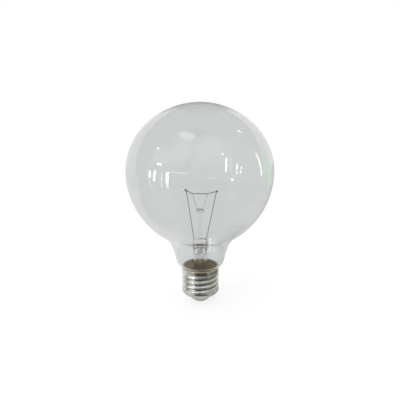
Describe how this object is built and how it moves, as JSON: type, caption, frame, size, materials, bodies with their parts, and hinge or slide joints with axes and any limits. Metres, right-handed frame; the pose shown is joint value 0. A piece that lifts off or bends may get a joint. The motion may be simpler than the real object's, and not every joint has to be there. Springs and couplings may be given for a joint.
{
  "type": "globe light bulb",
  "caption": "Clear globe light bulb with a screw cap, a flared glass stem and a wire-held filament in view.",
  "frame": {"origin": "flat tip of the centre contact, on the lamp's axis", "axes": "+Z along the lamp's axis from the contact to the crown, +X along the filament's span to the right lead, -Y the side that the filament leans towards"},
  "size_m": [0.1, 0.1, 0.1416],
  "materials": {
    "clear_glass": "clear, faint grey tint",
    "stem_glass": "clear, drawn and pressed",
    "tungsten": "drawn, dark grey",
    "molybdenum": "drawn",
    "nickel": "drawn",
    "copper_clad": "dull, sealed in glass",
    "copper": "drawn",
    "cap_sheet": "rolled, bright",
    "cement": "matt brown",
    "insulator_glass": "moulded, pale grey",
    "contact_brass": "stamped",
    "solder": "melted, satin"
  },
  "bodies": {
    "root": {"glass_envelope": "clear_glass", "stem_flare": "stem_glass", "exhaust_tube": "stem_glass", "support_rod": "stem_glass", "filament": "tungsten", "support_wire_left": "molybdenum", "support_wire_right": "molybdenum", "lead_in_left": "nickel", "lead_in_right": "nickel", "seal_wire_left": "copper_clad", "seal_wire_right": "copper_clad", "outer_lead_centre": "copper", "outer_lead_side": "copper", "screw_shell": "cap_sheet", "basing_cement": "cement", "base_insulator": "insulator_glass", "contact_plate": "contact_brass", "centre_solder": "solder", "side_solder": "solder"}
  },
  "joints": []
}
